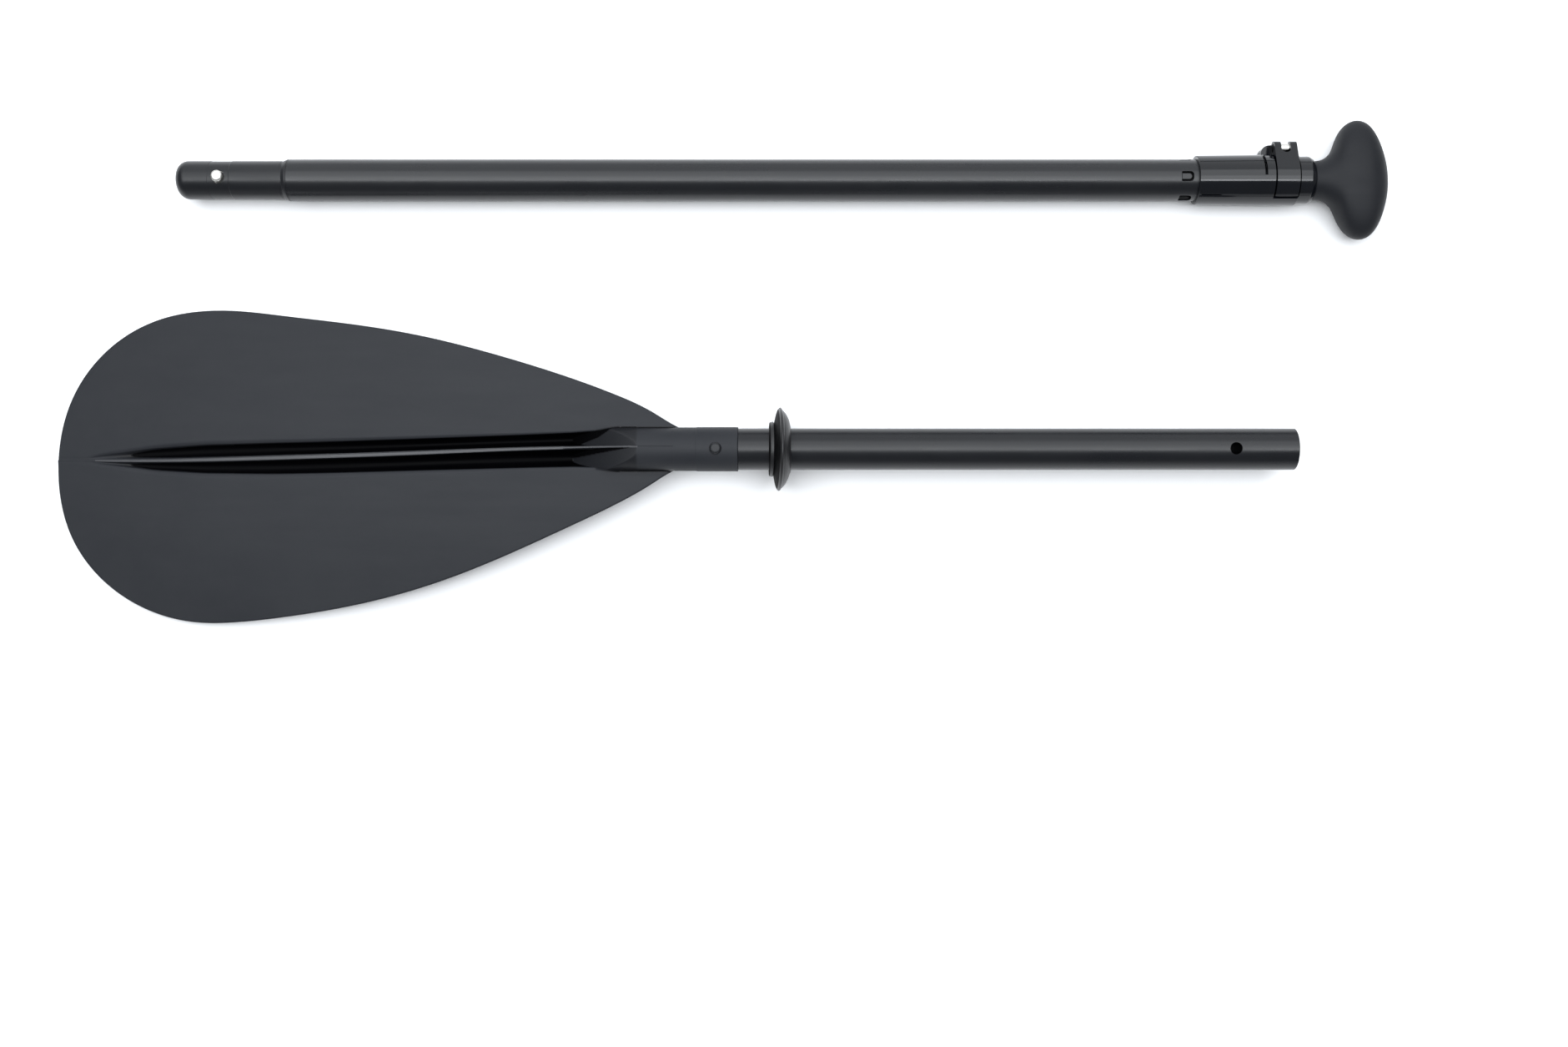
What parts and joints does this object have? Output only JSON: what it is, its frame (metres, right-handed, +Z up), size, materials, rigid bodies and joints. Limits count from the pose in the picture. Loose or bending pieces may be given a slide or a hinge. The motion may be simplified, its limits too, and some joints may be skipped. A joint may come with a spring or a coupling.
{
  "type": "kayak paddle",
  "caption": "Single-bladed adjustable paddle in two halves laid side by side: asymmetric blade on a shaft with drip ring, and telescoping handle with clamp and palm grip.",
  "frame": {"origin": "on the floor under the middle of the pair of halves' bounding box", "axes": "+X along both halves towards the palm grip, +Y from the blade half to the handle half, +Z up from the floor"},
  "size_m": [0.9453, 0.3553, 0.0586],
  "materials": {
    "blade_nylon": "fine-grained black nylon, satin sheen",
    "tube_composite": "satin black wound tube",
    "inner_tube_metal": "black anodised, satin",
    "ferrule_plastic": "smooth black moulding",
    "drip_rubber": "smooth black rubber",
    "clamp_plastic": "glossy black moulding",
    "grip_plastic": "fine matte black moulding",
    "bright_steel": "polished stainless steel",
    "spring_steel": "tempered leaf steel",
    "black_button": "glossy black button",
    "plug_foam": "white closed-cell foam",
    "bushing_plastic": "dark low-friction plastic"
  },
  "bodies": {
    "blade_half": {"blade": "blade_nylon", "lower_shaft_tube": "tube_composite", "blade_ferrule": "ferrule_plastic", "blade_button_spring": "spring_steel", "lower_float_plug": "plug_foam"},
    "blade_button": {"blade_snap_button": "black_button"},
    "drip_ring": {"drip_ring": "drip_rubber"},
    "grip": {"palm_grip": "grip_plastic", "inner_tube": "inner_tube_metal", "inner_guide_plug": "bushing_plastic"},
    "handle_shaft": {"handle_tube": "tube_composite", "handle_ferrule": "ferrule_plastic", "handle_button_spring": "spring_steel", "handle_float_plug": "plug_foam", "guide_bushing": "bushing_plastic", "clamp_collar": "clamp_plastic", "barrel_pin": "bright_steel", "draw_bolt": "bright_steel", "lock_nut": "bright_steel", "cam_plate": "bushing_plastic"},
    "clamp_lever": {"clamp_lever": "clamp_plastic"},
    "handle_button": {"handle_snap_button": "bright_steel"}
  },
  "joints": [
    {"name": "handle_half_placing", "type": "slide", "parent": "blade_half", "child": "grip", "axis": [0.9867, -0.1622, 0.0099], "range_m": [0, 1.17436]},
    {"name": "telescope", "type": "slide", "parent": "grip", "child": "handle_shaft", "axis": [-1, 0, 0], "range_m": [0, 0.45]},
    {"name": "lever_swing", "type": "hinge", "parent": "handle_shaft", "child": "clamp_lever", "pos_m": [0.3981, 0.1575, 0.02315], "axis": [-1, 0, 0], "range_deg": [0, 150]},
    {"name": "handle_button_press", "type": "slide", "parent": "handle_shaft", "child": "handle_button", "axis": [0, 0, -1], "range_m": [0, 0.0042], "stiffness_N_per_m": 1500, "springref_m": -0.001, "deforming": ["handle_button_spring"]},
    {"name": "blade_button_press", "type": "slide", "parent": "blade_half", "child": "blade_button", "axis": [0, 0, -1], "range_m": [0, 0.0042], "stiffness_N_per_m": 1500, "springref_m": -0.001, "deforming": ["blade_button_spring"]},
    {"name": "drip_ring_slide", "type": "slide", "parent": "blade_half", "child": "drip_ring", "axis": [1, 0, 0], "range_m": [-0.021, 0.3]}
  ]
}
